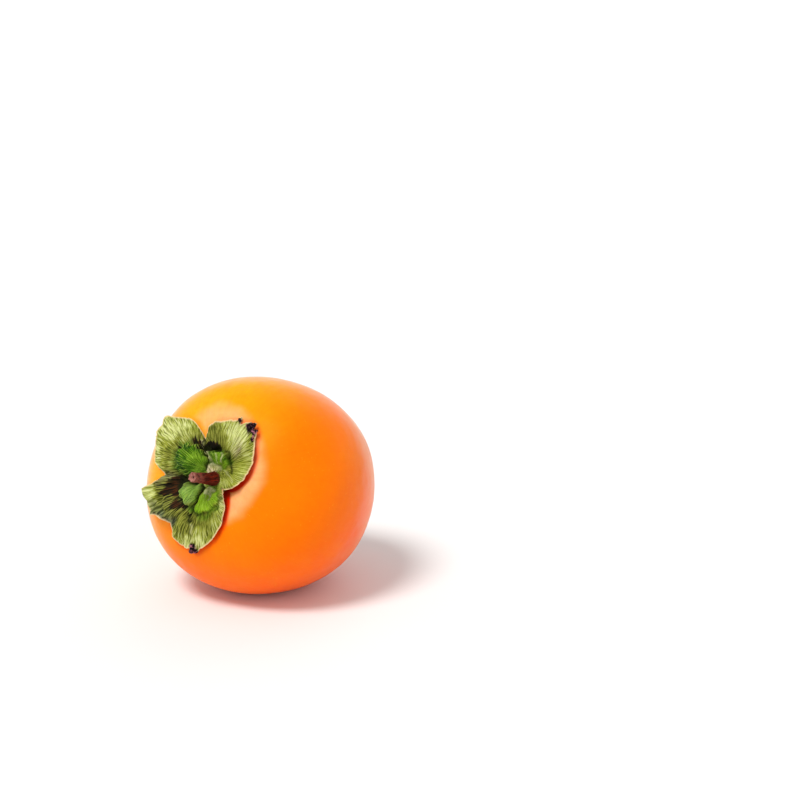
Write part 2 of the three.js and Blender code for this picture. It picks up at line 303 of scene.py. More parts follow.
# Pale raised lines: places, width, height and paleness
CRESTS = [
    [[(121, 14.4), (120, 11.6), (116, 9.6), (109, 7.3), (99, 5.2)], 0.62, 0.9, 0.75],
    [[(74, 9.0), (68, 7.2), (64, 5.8)], 0.3, 0.3, 0.9],
    [[(84, 8.0), (80, 6.4), (76, 5.2)], 0.25, 0.2, 0.5],
    [[(150, 4.0), (130, 4.3), (112, 4.8), (98, 5.5)], 0.5, 0.3, 0.9],
    [[(98, 5.5), (88, 4.6), (70, 4.0), (52, 4.0)], 0.6, 0.15, 0.6],
    [[(50, 4.8), (34, 5.2), (16, 6.2), (2, 7.4)], 0.3, 0.3, 0.4],
    [[(26, 5.8), (8, 6.8), (354, 7.8)], 0.3, 0.2, 0.4],
    [[(234, 5.6), (250, 5.0), (266, 5.4), (278, 6.6)], 0.4, 0.25, 0.9],
    [[(262, 4.2), (270, 5.4), (276, 7.2)], 0.18, 0.2, 0.8],
    # Painted light: a pale line with no height just below the stem, lightening where the stem's shadow falls
    [[(236, 4.8), (250, 4.3), (268, 4.0), (288, 4.4)], 0.8, 0.0, 0.8],
    [[(247, 4.6), (256, 6.0), (263, 7.8)], 0.16, 0.15, 0.5],
    [[(187, 20.4), (186, 17.6), (186, 15.2), (188, 13.4)], 0.9, 1.5, 0.35],
    [[(248, 16.2), (252, 18.0), (254, 20.0)], 0.5, 0.2, 0.4],
]

# The share of a line's length that it tapers over at each end, the steps of a curve from one place to the
# next, and the least rise of a side that isn't level
LINE_END = 0.16
CURVE_STEPS = 5
LEVEL = 1e-9

# The groove beside the folds, the seams between the lobes, the ribs, the rim and the collar round the stem
GROOVE_DEPTH = 0.35
GROOVE_WIDTH = 0.5
SEAM_DEPTH = 0.5
SEAM_DEG = 1.6
RIB_HEIGHT = 0.085
RIBS_PER_RADIAN = 33.0
RIB_LENGTH = 4.5
FAN_ROOT = 4.5
RIM = 0.5
RIM_DROOP = 1.0
COLLAR_LIP = 0.4
COLLAR_WIDTH = 0.9
COLLAR_INSIDE = 2.5
COLLAR_HEIGHT = 3.0

# Dried tips, frilled edges, patches of colour and of painted shade: azimuth, arc, size and strength
DRIED = [
    (60, 20.4, 1.9, 1.3), (55, 21.4, 1.5, 1.2), (52, 18.2, 0.9, 1.0), (50, 16.8, 0.6, 0.8),
    (66, 20.4, 1.0, 1.0), (76, 20.5, 0.9, 1.1), (258, 25.0, 2.0, 1.3), (256, 22.8, 0.9, 0.7),
    (212, 26.4, 0.7, 0.5),
]
# Dark brown patches: partly the calyx's own browned tissue and partly painted shade in the hollows of the
# folded lobes
BROWN = [
    (153, 17.0, 1.2, 1.1), (130, 14.4, 1.5, 1.25), (124, 12.6, 1.1, 1.1), (113, 10.8, 1.5, 1.3),
    (101, 10.4, 1.7, 1.5), (90, 10.4, 1.2, 1.1), (198, 16.4, 3.0, 1.35), (193, 13.6, 1.8, 1.4),
    (188, 10.6, 1.2, 1.2), (208, 14.4, 1.0, 1.0), (203, 19.0, 1.2, 0.7), (205, 15.4, 1.4, 0.8),
    (218, 16.4, 2.0, 1.15), (227, 14.6, 1.5, 1.15), (243, 15.0, 0.8, 1.0), (185, 13.2, 1.2, 0.7),
]
# Painted shadow: near-black spots in the hollows and under the overhanging edges of the folds
BLACK_SHADOW = [
    (113, 10.9, 1.3, 1.3), (102, 10.5, 1.5, 1.5), (91, 10.4, 1.1, 1.2), (130, 14.2, 1.2, 1.2),
    (125, 12.2, 1.0, 1.2), (152, 17.2, 0.9, 1.0), (191, 12.0, 1.6, 1.3), (200, 13.4, 1.3, 1.1),
    (194, 18.6, 1.2, 0.8), (207, 18.0, 1.2, 0.9), (228, 14.2, 1.2, 1.1), (217, 14.4, 1.0, 0.8),
    (214, 19.6, 1.6, 0.55), (243, 15.0, 0.8, 1.0),
]
DEEP = [
    (172, 12.8, 3.0, 1.4), (181, 9.2, 1.8, 0.5), (142, 14.0, 1.7, 1.4), (171, 15.6, 1.8, 1.1),
    (95, 7.6, 1.4, 0.8), (160, 15.0, 1.8, 1.0), (158, 8.2, 1.6, 0.5), (130, 10.6, 1.4, 0.8),
    (110, 8.4, 1.6, 0.9), (60, 7.6, 1.1, 0.8), (200, 10.0, 1.2, 0.5),
]
LIME = [
    (250, 8.6, 2.6, 0.8), (278, 7.6, 3.0, 0.9), (262, 11.4, 2.4, 0.8), (82, 6.6, 2.0, 0.5),
    (140, 9.0, 2.6, 0.55), (148, 13.2, 1.6, 0.4), (22, 6.4, 2.2, 0.9), (55, 6.4, 1.6, 0.9),
    (178, 13.4, 1.7, 0.9), (33, 11.0, 2.0, 0.6), (20, 10.5, 2.0, 0.8), (247, 5.3, 1.8, 1.0),
    (275, 4.8, 1.8, 1.0), (282, 9.8, 1.8, 0.9), (352, 8.0, 2.0, 0.8), (285, 11.0, 1.6, 0.5),
]
FRILLS = [
    (197, 25.0, 3.0, 1.0), (206, 25.4, 3.0, 1.0), (214, 21.6, 3.2, 0.9), (190, 19.4, 2.6, 0.8),
]
GREY = [
    (214, 19.8, 1.9, 0.25), (209, 25.2, 1.6, 0.8), (215, 23.4, 1.9, 1.0), (222, 22.0, 1.9, 1.1),
    (228, 21.6, 1.8, 0.9),
]
BRUISED = [
    (53, 12.6, 1.7, 0.8), (60, 14.6, 1.2, 0.5), (184, 17.0, 1.6, 0.3), (190, 20.6, 1.4, 0.6),
]
OLIVE = [
    (112, 16.6, 3.2, 1.3), (104, 13.4, 2.8, 1.0), (88, 13.0, 2.2, 0.6), (46, 10.4, 1.6, 0.4),
    (249, 19.0, 1.8, 1.2), (242, 20.6, 1.6, 0.8), (250, 15.2, 3.0, 0.9), (266, 13.6, 2.4, 0.8),
    (240, 17.4, 2.2, 0.5), (214, 20.0, 3.4, 1.7), (190, 19.6, 2.4, 1.3), (185, 17.4, 2.0, 0.8),
    (224, 19.2, 2.8, 1.2), (206, 21.4, 1.6, 1.0), (177, 18.4, 2.2, 0.4), (163, 18.6, 2.2, 0.4),
    (150, 18.6, 1.6, 0.5), (122, 12.6, 1.4, 0.6),
]
PALE = [
    (141, 21.6, 4.2, 0.9), (150, 25.0, 3.0, 0.6), (72, 16.4, 3.4, 1.0), (60, 16.0, 2.4, 0.6),
    (90, 18.0, 2.0, 0.5), (249, 23.2, 2.4, 0.8), (205, 23.0, 1.8, 1.1), (165, 24.6, 3.0, 0.6),
    (177, 22.4, 2.4, 0.6), (20, 10.5, 1.8, 0.6), (304, 8.2, 1.4, 1.2), (296, 10.4, 1.6, 1.2),
    (262, 20.8, 2.6, 0.8), (286, 13.0, 2.0, 0.5), (196, 25.2, 2.0, 1.4), (203, 25.2, 1.6, 1.3),
    (200, 22.6, 1.2, 0.7), (193, 22.0, 1.0, 0.6),
]


def flat_place(azimuth_deg, arc):
    """The calyx laid flat: millimetres from its middle, across and up."""
    return np.stack([arc * np.cos(np.radians(azimuth_deg)), arc * np.sin(np.radians(azimuth_deg))], axis=-1)


def spots(table, flat):
    """Sum of the round spots in a table, each at its strength in the middle."""
    total = 0.0
    for azimuth_deg, arc, size, strength in table:
        away = np.linalg.norm(flat - flat_place(azimuth_deg, arc), axis=-1)
        total = total + strength * bell(away / size)
    return total


def curve_steps(before, start, end, beyond):
    """Points of a smooth curve from each start towards its end, bent to suit its neighbours."""
    curve = []
    for t in np.arange(CURVE_STEPS) / CURVE_STEPS:
        straight = 2 * start + (end - before) * t
        bend = (2 * before - 5 * start + 4 * end - beyond) * t * t
        ease = (3 * start - before - 3 * end + beyond) * t ** 3
        curve.append(0.5 * (straight + bend + ease))
    return np.stack(curve, axis=1).reshape(-1, 2)


def closed_curve(outline):
    """The closed outline with its corners rounded, as points of the flat calyx."""
    knots = np.array([flat_place(azimuth_deg, arc) for azimuth_deg, arc in outline])
    return curve_steps(np.roll(knots, 1, 0), knots, np.roll(knots, -1, 0), np.roll(knots, -2, 0))


def side_distances(flat, start, side):
    """Distance from each straight side, and the nearest point's place along that side, 0 to 1."""
    to_point = flat[..., None, :] - start
    along = np.clip((to_point * side).sum(-1) / (side * side).sum(-1), 0, 1)
    return np.linalg.norm(to_point - along[..., None] * side, axis=-1), along


def depth_inside(flat, curve):
    """Distance in from a closed curve, negative outside it."""
    start, end = curve, np.roll(curve, -1, 0)
    side = end - start
    distance = side_distances(flat, start, side)[0].min(axis=-1)
    y = flat[..., None, 1]
    crosses = (start[:, 1] > y) != (end[:, 1] > y)
    rise = np.where(np.abs(side[:, 1]) < LEVEL, LEVEL, side[:, 1])
    at_x = start[:, 0] + (y - start[:, 1]) * side[:, 0] / rise
    inside = ((crosses & (flat[..., None, 0] < at_x)).sum(-1) % 2).astype(bool)
    return np.where(inside, distance, -distance)


def line_distance(flat, places):
    """Distance from a line rounded through its places, and how far along it that is, 0 to 1."""
    knots = np.array([flat_place(azimuth_deg, arc) for azimuth_deg, arc in places])
    knots = np.concatenate([2 * knots[:1] - knots[1:2], knots, 2 * knots[-1:] - knots[-2:-1]])
    curve = curve_steps(knots[:-3], knots[1:-2], knots[2:-1], knots[3:])
    curve = np.concatenate([curve, knots[-2:-1]])
    sides = np.diff(curve, axis=0)
    distance, along = side_distances(flat, curve[:-1], sides)
    nearest = distance.argmin(axis=-1)[..., None]
    along = np.take_along_axis(along, nearest, -1)[..., 0] + nearest[..., 0]
    return np.take_along_axis(distance, nearest, -1)[..., 0], along / len(sides)


def lines(table, flat):
    """The height and the colour that a table of lines gives, tapering off at both ends of each line."""
    height, colour = 0.0, 0.0
    for places, width, line_height, strength in table:
        distance, along = line_distance(flat, places)
        taper = smoothstep(along, 0, LINE_END) * smoothstep(1 - along, 0, LINE_END)
        shape = bell(distance / width) * taper
        height = np.maximum(height, line_height * shape)
        colour = np.maximum(colour, strength * shape)
    return height, colour


# The skin's fine surface. Waves are listed as (height, wavelength, seed)

SKIN_COLUMNS = 340
SKIN_RINGS = 225
TIP_RINGS = 50
TIP_ARC = 7.0
SKIN_WAVES = [(0.16, 42, 1), (0.05, 15, 2), (0.018, 5, 3)]
SKIN_WAVES_START = (24, 36)
TIP_CREASE_HEIGHT = 0.1
TIP_CREASE_TURN = 0.6
TIP_DIMPLE_DEPTH = 0.22
TIP_DIMPLE_ARC = 2.2
TIP_DIMPLE_WIDTH = 1.6
# The way that the skin is painted redder: partly its riper side and partly painted shade, away from the key
# light
RIPEST_AND_SHADED_WAY = np.array([0.71, 0.18, -0.67])

# Painted sheen: the pale zone round the calyx is partly the skin's waxy bloom and partly a broad highlight on
# the shoulder, painted into the skin's colour
# The bloom and sheen round the calyx: the arc where it ends, and (azimuth, width in degrees, how much
# further)
BLOOM_AND_SHEEN_ARC = 14.6
BLOOM_AND_SHEEN_BULGES = [(104, 52, 10.8), (20, 35, 2.6)]
BLOOM_AND_SHEEN_WAVES = [(0.8, 16, 4), (0.3, 6, 5)]
BLOOM_AND_SHEEN_FADE = (-2.8, 2.6)
BLOOM_AND_SHEEN_THIN = 0.75
BLOOM_AND_SHEEN_THIN_SIDE = (200, 60)
BLOOM_AND_SHEEN_NOTCH = (122, 12)
NOTCH_WIDTH = 2.4
NOTCH_FULL = 0.4
MARGIN_STEP_DEG = 1.5

# Painted shadow: a dark red line of skin along the calyx's right edge. A side is (azimuth, width in degrees)
PAINTED_SHADOW_SIDE = (332, 95)
PAINTED_SHADOW_WIDTH = 2.1
PAINTED_SHADOW_FULL = 0.6


def skin_piece():
    tip_start = math.pi - TIP_ARC / ARC_RADIUS
    polars = np.concatenate([
        np.linspace(0, tip_start, SKIN_RINGS, endpoint=False),
        np.linspace(tip_start, math.pi, TIP_RINGS),
    ])
    azimuths = np.linspace(0, 2 * math.pi, SKIN_COLUMNS, endpoint=False)
    polar, azimuth = np.meshgrid(polars, azimuths, indexing="ij")
    azimuth_deg = np.degrees(azimuth)
    arc = ARC_RADIUS * polar
    from_tip = ARC_RADIUS * (math.pi - polar)

    radius = skin_radius(polar, azimuth)
    points = point_at(polar, azimuth, radius)
    uneven = smoothstep(arc, *SKIN_WAVES_START) * layered(points, SKIN_WAVES)
    creases = np.cos(4 * azimuth + TIP_CREASE_TURN) * bell((from_tip - TIP_ARC) / TIP_ARC)
    dimple = bell((from_tip - TIP_DIMPLE_ARC) / TIP_DIMPLE_WIDTH)
    radius = radius + uneven + TIP_CREASE_HEIGHT * creases - TIP_DIMPLE_DEPTH * dimple
    points = press_flat(point_at(polar, azimuth, radius))
    facing = points / np.linalg.norm(points, axis=-1, keepdims=True)

    margin_deg = np.arange(0, 360, MARGIN_STEP_DEG)
    margin = flat_place(margin_deg, reach_at(margin_deg))
    beyond = -depth_inside(flat_place(azimuth_deg, arc), margin)
    bloom_and_sheen_end = BLOOM_AND_SHEEN_ARC + layered(points, BLOOM_AND_SHEEN_WAVES)
    for side_deg, width_deg, further in BLOOM_AND_SHEEN_BULGES:
        bloom_and_sheen_end = bloom_and_sheen_end + further * near_azimuth(azimuth_deg, side_deg, width_deg)
    bloom_and_sheen = smoothstep(bloom_and_sheen_end - arc, *BLOOM_AND_SHEEN_FADE)
    bloom_and_sheen = bloom_and_sheen * (1 - BLOOM_AND_SHEEN_THIN * near_azimuth(azimuth_deg, *BLOOM_AND_SHEEN_THIN_SIDE))
    notch = near_azimuth(azimuth_deg, *BLOOM_AND_SHEEN_NOTCH) * smoothstep(beyond, NOTCH_WIDTH, NOTCH_FULL)
    painted_shadow = smoothstep(beyond, PAINTED_SHADOW_WIDTH, PAINTED_SHADOW_FULL) * near_azimuth(azimuth_deg, *PAINTED_SHADOW_SIDE)
    return closed_mesh("persimmon_skin", points, {
        "arc": arc,
        "from_tip": from_tip,
        "azimuth_x": np.cos(azimuth),
        "azimuth_y": np.sin(azimuth),
        "ripe_and_shaded": facing @ (LOCAL_FRAME @ RIPEST_AND_SHADED_WAY),
        "bloom_and_sheen": bloom_and_sheen * (1 - BLOOM_AND_SHEEN_THIN * notch),
        "painted_shadow": painted_shadow,
        "up": facing @ UP,
    })


# The calyx's fine surface

FOLD_CURVES = [closed_curve(outline) for outline, *_ in FOLDS]
FOLD_ENDS = [max(arc for _, arc in outline) for outline, *_ in FOLDS]
MASKS = {
    "brown": BROWN, "black_shadow": BLACK_SHADOW, "deep": DEEP, "lime": LIME,
    "grey": GREY, "olive": OLIVE, "pale": PALE, "bruised": BRUISED,
}

# Fibres: how they wander from a true fan, and the finer ribs and broader pleats beside the main ones. They
# start beyond the core
CORE_FADE = (4.6, 6.6)
FAN_WAVES = [(0.014, 9, 11), (0.004, 3, 12)]
LOBE_APART = 7.0
RIB_COUNT = 24
FINE_RIB_SHARE = 0.4
FINE_RIB_SCALE = [2.2, 1.6, 1.0]
PLEAT_SCALE = [0.26, 0.8, 1.0]
FOLD_RIB_HEIGHT = 0.07
PLEAT_HEIGHT = 0.16
FOLD_PLEAT_HEIGHT = 0.22

# The folds' edges: waves, and (azimuth, width in degrees) of the places where they are soft
WANDER = 0.3
WANDER_LENGTH = 3.2
FOLD_EDGE_WAVES = [(0.35, 2.8, 16)]
FOLD_FADE_WAVES = [(0.6, 4.0, 27)]
FOLD_FADE_RIBS = 0.45
GROOVE_BREAKS = [(1.0, 8.0, 28)]
SOFT_SIDES = [(172, 20), (262, 26)]
# Painted light: below the stem the folds' bright green reaches further, partly the fold's own colour and
# partly lightening where the stem's shadow falls
BELOW_STEM = (268, 42)
BELOW_STEM_SHARE = 0.95
COLLAR_SIDE = (122, 46)

# Low relief on folds, frilled edges, dried tips and the lip round the stem
FOLD_WAVES = [(0.2, 3.4, 24), (0.1, 1.5, 37)]
FRILL_WAVES = [(0.75, 4.2, 35), (0.4, 2.1, 36)]
DRY_PATCH_WAVES = [(0.16, 1.5, 17)]
DRY_LIFT = 0.1
SHRED_HEIGHT = 0.75
SHREDS_PER_RADIAN = 13
SHREDS_ALONG = 0.28
SHRED_WAVES = [(0.5, 3.0, 38)]
DRY_WAVES = [(0.12, 0.9, 25)]
LIP_WAVES = [(0.2, 1.6, 26)]
CRINKLE_RADIUS = 11
CRINKLE_STRETCH = 0.9
CRINKLE_LENGTH = 2.4
CRINKLE_HEIGHT = 0.12
CRINKLE_ARC = 3.8
CRINKLE_WIDTH = 1.5
DROOP_START = 0.75


def fan_fields(flat, tip_deg):
    """Angle about the root that a lobe's fibres fan out from, and the distance from it."""
    tip = np.radians(tip_deg)
    du, dv = flat[..., 0] - FAN_ROOT * np.cos(tip), flat[..., 1] - FAN_ROOT * np.sin(tip)
    along, aside = du * np.cos(tip) + dv * np.sin(tip), dv * np.cos(tip) - du * np.sin(tip)
    return np.arctan2(aside, along), np.hypot(du, dv)


def blade_form(lobe, share_out):
    """Height that a lobe gains towards its edge, with the ripples of its outline."""
    middle = np.sin(math.pi * lobe["across"])
    outward = np.clip((share_out - lobe["fold_end"]) / (1 - lobe["fold_end"]), 0, 1)
    ridge = (1 - np.cos(2 * math.pi * lobe["ridges"] * lobe["across"])) / 2
    ripple = (1 - np.cos(2 * math.pi * lobe["waves"] * lobe["across"])) / 2
    rise = lobe["rise"] * outward ** RISE_POWER * lerp(middle, ridge, RIDGE_SHARE)
    return rise + EDGE_RIPPLE * outward ** 2 * ripple


def fold_form(depths, arc):
    """Height of the swollen folds, which round off towards their outlines."""
    swell = 0.0
    for depth, end, (_, root_height, end_height, roundness) in zip(depths, FOLD_ENDS, FOLDS):
        inward = np.clip(depth / roundness, 0, 1)
        height = lerp(root_height, end_height, smoothstep(arc, CORE_RADIUS, end - 1))
        swell = np.maximum(swell, height * (1 - (1 - inward) ** 2))
    return swell


def calyx_fields(azimuth_deg, arc, reach):
    """Everything about the top of the calyx at (azimuth, arc): its height and the masks of its colours."""
    lobe = lobe_fields(azimuth_deg)
    flat = flat_place(azimuth_deg, arc)
    beyond_core = smoothstep(arc, *CORE_FADE)

    fan, run = fan_fields(flat, lobe["tip"])
    fan = fan + layered(flat, FAN_WAVES)
    fibres = np.stack([fan * RIBS_PER_RADIAN, run / RIB_LENGTH, lobe["index"] * LOBE_APART], axis=-1)
    fine_rib = waves(fibres * FINE_RIB_SCALE, 1.0, 19, RIB_COUNT)
    main_rib = waves(fibres, 1.0, 18, RIB_COUNT)
    rib = main_rib + FINE_RIB_SHARE * fine_rib
    pleat = waves(fibres * PLEAT_SCALE, 1.0, 20)

    shift = np.stack([waves(flat, WANDER_LENGTH, 13), waves(flat, WANDER_LENGTH, 14)], axis=-1)
    wander = flat + WANDER * shift
    depths = [depth_inside(wander, curve) for curve in FOLD_CURVES]
    depth = np.maximum.reduce(depths) + layered(flat, FOLD_EDGE_WAVES)
    soft = sum(near_azimuth(azimuth_deg, *side) for side in SOFT_SIDES)
    ragged_depth = depth + FOLD_FADE_RIBS * main_rib + layered(flat, FOLD_FADE_WAVES)
    fold = smoothstep(ragged_depth, -1.3 - 1.6 * soft, 0.9 + 0.4 * soft)
    # Painted light below the stem, where the stem's shadow falls
    below_stem = near_azimuth(azimuth_deg, *BELOW_STEM) * smoothstep(arc, 7.0, 5.0)
    fold = np.maximum(fold, BELOW_STEM_SHARE * below_stem)

    crease, crease_shade = lines(CREASES, wander)
    crest, crest_pale = lines(CRESTS, wander)
    cut_off = smoothstep(layered(flat, GROOVE_BREAKS) + 2.2 * spots(BROWN, flat), -0.3, 0.7)
    groove = bell((depth + 0.5) / GROOVE_WIDTH) * beyond_core * cut_off
    lobe_width = STARTS[lobe["index"] + 1] - STARTS[lobe["index"]]
    from_start = np.minimum(lobe["across"], 1 - lobe["across"]) * lobe_width
    seam = bell(from_start / SEAM_DEG) * beyond_core * (1 - 0.8 * fold)

    dry = smoothstep(spots(DRIED, flat) + layered(flat, DRY_PATCH_WAVES), 0.4, 0.8)
    shred_turn = fan * SHREDS_PER_RADIAN + layered(flat, SHRED_WAVES)
    shreds = np.abs(waves(np.stack([shred_turn, run * SHREDS_ALONG], axis=-1), 1.0, 15))
    around = flat_place(azimuth_deg, CRINKLE_RADIUS)
    crinkle = waves(np.concatenate([around, arc[..., None] * CRINKLE_STRETCH], axis=-1), CRINKLE_LENGTH, 29)
    collar = bell((arc - COLLAR_INSIDE - 0.25) / COLLAR_WIDTH)
    frill = np.clip(spots(FRILLS, flat), 0, 1)

    lift = (
        CLEARANCE + BLADE - CORE_DIP * bell(arc / CORE_DIP_RADIUS)
        + fold_form(depths, arc) + blade_form(lobe, arc / reach)
        + spots(DENTS, flat) - GROOVE_DEPTH * groove - SEAM_DEPTH * seam - crease + crest
        + lerp(RIB_HEIGHT, FOLD_RIB_HEIGHT, fold) * beyond_core * rib
        + lerp(PLEAT_HEIGHT, FOLD_PLEAT_HEIGHT, fold) * beyond_core * pleat
        + fold * layered(flat, FOLD_WAVES)
        + frill * layered(flat, FRILL_WAVES)
        + dry * (DRY_LIFT + SHRED_HEIGHT * shreds + layered(flat, DRY_WAVES))
        + COLLAR_LIP * collar * (1 + layered(flat, LIP_WAVES))
        + CRINKLE_HEIGHT * crinkle * bell((arc - CRINKLE_ARC) / CRINKLE_WIDTH)
        - RIM_DROOP * smoothstep(arc / reach, DROOP_START, 1)
    )
    masks = {name: spots(table, wander) for name, table in MASKS.items()}
    return lift, {
        **masks, "fan": fan, "run": run, "rib": rib, "crinkle": crinkle, "depth": depth, "fold": fold,
        "groove": groove, "seam": seam, "dry": dry, "shreds": shreds, "crease": crease_shade,
        "crest": crest_pale, "ear": smoothstep(depths[EAR], -0.2, 0.9),
        "top_side": near_azimuth(azimuth_deg, *COLLAR_SIDE),
    }


# The calyx's mesh: its rows, and the least distances that keep its surfaces apart
CALYX_COLUMNS = 880
BLADE_ROWS = 66
UNDER_ROWS = 24
COLLAR_ROWS = 9
SOCKET_SHARES = [0.0, 0.5, 0.97, 1.0]
RIM_ANGLES = [60, 25, -25, -60]
EDGE_RADIUS = 10
EDGE_WAVES = [(0.12, 1.6, 21), (0.05, 0.6, 22)]
DRY_EDGE_WAVES = [(0.7, 0.9, 23)]
FREE_SHARES = (0.4, 0.65)
THINNING_SHARES = (0.6, 1)
LEAST_TOP = 0.25
LEAST_UNDER = 0.15
LEAST_BLADE = 0.2


def calyx_piece():
    azimuth_deg = np.linspace(FIRST, FIRST + 360, CALYX_COLUMNS, endpoint=False)
    azimuth = np.radians(azimuth_deg)
    around = flat_place(azimuth_deg, EDGE_RADIUS)
    reach = reach_at(azimuth_deg) + layered(around, EDGE_WAVES)
    edge_dry = np.clip(spots(DRIED, flat_place(azimuth_deg, reach)), 0, 1)
    reach = reach + edge_dry * layered(around, DRY_EDGE_WAVES)

    foot_radius = STEM_RADII[0] * (1 + STEM_RIB)
    socket_floor = round_radius(0, 0) + CLEARANCE + BLADE - CORE_DIP - SOCKET_DEPTH
    socket_radius = foot_radius + SOCKET_DEPTH * math.tan(STEM_LEAN) + STEM_GAP
    lean_way = np.array([math.cos(STEM_LEAN_AZIMUTH), math.sin(STEM_LEAN_AZIMUTH), 0.0])
    collar_shift = COLLAR_HEIGHT * math.tan(STEM_LEAN) * lean_way
    rows, fields = [], []

    def add(arc, side):
        """One ring. side is 1 on top, -1 beneath and between them on the rounded rim."""
        arc = np.broadcast_to(arc, azimuth.shape)
        polar = arc / ARC_RADIUS
        share_out = arc / reach
        lift, masks = calyx_fields(azimuth_deg, arc, reach)
        skin_lift = -hollow(polar)
        free = smoothstep(share_out, *FREE_SHARES)
        thickness = lerp(BLADE, RIM, smoothstep(share_out, *THINNING_SHARES))
        top = np.maximum(lift, skin_lift + CLEARANCE + LEAST_TOP)
        under = lerp(skin_lift + CLEARANCE, np.maximum(top - thickness, skin_lift + LEAST_UNDER), free)
        under = np.minimum(under, top - LEAST_BLADE)
        height = lerp(under, top, (side + 1) / 2)
        rows.append(point_at(polar, azimuth, round_radius(polar, azimuth) + height))
        beneath = (1 - side) / 2 * smoothstep(arc, 6, 9)
        fields.append({**masks, "edge": reach - arc, "arc": arc, "under": beneath})

    for share in SOCKET_SHARES:
        radius = share * socket_radius
        add(radius, 1)
        flat_ring = flat_place(azimuth_deg, radius)
        rows[-1] = np.concatenate([flat_ring, np.full((CALYX_COLUMNS, 1), socket_floor)], axis=-1)
    for arc in np.linspace(COLLAR_INSIDE, CORE_RADIUS, COLLAR_ROWS, endpoint=False):
        add(arc, 1)
        rows[-1] = rows[-1] + collar_shift * (1 - smoothstep(arc, COLLAR_INSIDE, CORE_RADIUS))
    edge_arc = reach - RIM / 2
    for share in np.linspace(0, 1, BLADE_ROWS):
        add(lerp(CORE_RADIUS, edge_arc, share), 1)
    for angle in np.radians(RIM_ANGLES):
        add(edge_arc + RIM / 2 * math.cos(angle), math.sin(angle))
    for share in np.linspace(1, 0, UNDER_ROWS):
        add(lerp(CORE_RADIUS, edge_arc, share), -1)
    add(CORE_RADIUS / 2, -1)
    add(0.0, -1)
    return closed_mesh("persimmon_calyx", np.stack(rows), stacked(fields)), socket_floor, foot_radius


# The stem. Shares run from 0 at its foot to 1 at its cut end, and across that end from 0 in the middle to 1

STEM_COLUMNS = 132
STEM_ROWS = 110
END_SHARES = [0, 0.12, 0.22, 0.3, 0.36, 0.45, 0.58, 0.7, 0.8, 0.88, 0.94, 0.98]
BARK_RADIUS = 1.9
BARK_LENGTH = 2.6
BARK_WAVES = [(0.07, 0.75, 31), (0.035, 0.3, 32)]
RING_WAVES = [(0.05, 1.7, 33)]
CUT_WAVES = [(0.10, 1.1, 34)]
CUT_DROP = 0.28
CUT_LIP = 0.22
CUT_RING_HEIGHT = 0.1
CUT_RINGS = 9
CUT_ROUNDING = 0.1
PIT_SHARES = (0.18, 0.42)


def stem_piece(socket_floor, foot_radius):
    angle = np.linspace(0, 2 * math.pi, STEM_COLUMNS, endpoint=False)
    axis = np.array([-math.sin(STEM_LEAN_AZIMUTH), math.cos(STEM_LEAN_AZIMUTH), 0.0])
    lean = np.array(Matrix.Rotation(STEM_LEAN, 3, Vector(axis)))
    base = np.array([0, 0, socket_floor + STEM_GAP + foot_radius * math.sin(STEM_LEAN)])

    def radius_at(share):
        radius = np.interp(share, np.linspace(0, 1, len(STEM_RADII)), STEM_RADII)
        return radius * (1 + STEM_RIB * np.cos(STEM_RIBS * (angle + STEM_TWIST * share)))

    def ring(turn, radius, height):
        return np.stack([radius * np.cos(turn), radius * np.sin(turn), height + 0 * turn], axis=-1)

    rows, fields = [], []

    def add(share, spread, drop, cut):
        """One ring. spread is the share of the stem's radius, and cut is 1 on the cut end."""
        turned = angle + STEM_TWIST * share
        wrinkle = layered(ring(turned, BARK_RADIUS, share * BARK_LENGTH), BARK_WAVES)
        wrinkle = wrinkle + layered(ring(angle, 1.0, share * STEM_LENGTH), RING_WAVES)
        radius = (radius_at(share) + wrinkle * smoothstep(share, 0.02, 0.1)) * spread
        ragged = cut * layered(ring(angle, radius, 0.0)[:, :2], CUT_WAVES)
        rows.append(ring(angle, radius, STEM_LENGTH * share - drop + ragged) @ lean.T + base)
        everywhere = np.ones(angle.shape)
        fields.append({
            "turn_x": np.cos(turned), "turn_y": np.sin(turned), "wrinkle": wrinkle,
            "share": share * everywhere, "cut": cut * everywhere, "spread": spread * everywhere,
        })

    for spread in END_SHARES:
        pit = PITH_DEPTH * (1 - smoothstep(spread, *PIT_SHARES))
        lip = CUT_LIP * smoothstep(spread, 0.6, 0.98)
        drop = CUT_DROP + pit - lip - CUT_RING_HEIGHT * math.sin(CUT_RINGS * spread)
        add(1.0, max(spread, 1e-4), drop, 1)
    for share in np.linspace(1, 0, STEM_ROWS):
        rounding = CUT_ROUNDING * smoothstep(share, 0.985, 1.0)
        add(share, 1 - rounding * 0.4, rounding, 0)
    add(0.0, 0.5, 0, 0)
    add(0.0, 1e-4, 0, 0)
    return closed_mesh("persimmon_stem", np.stack(rows), stacked(fields))


# Materials

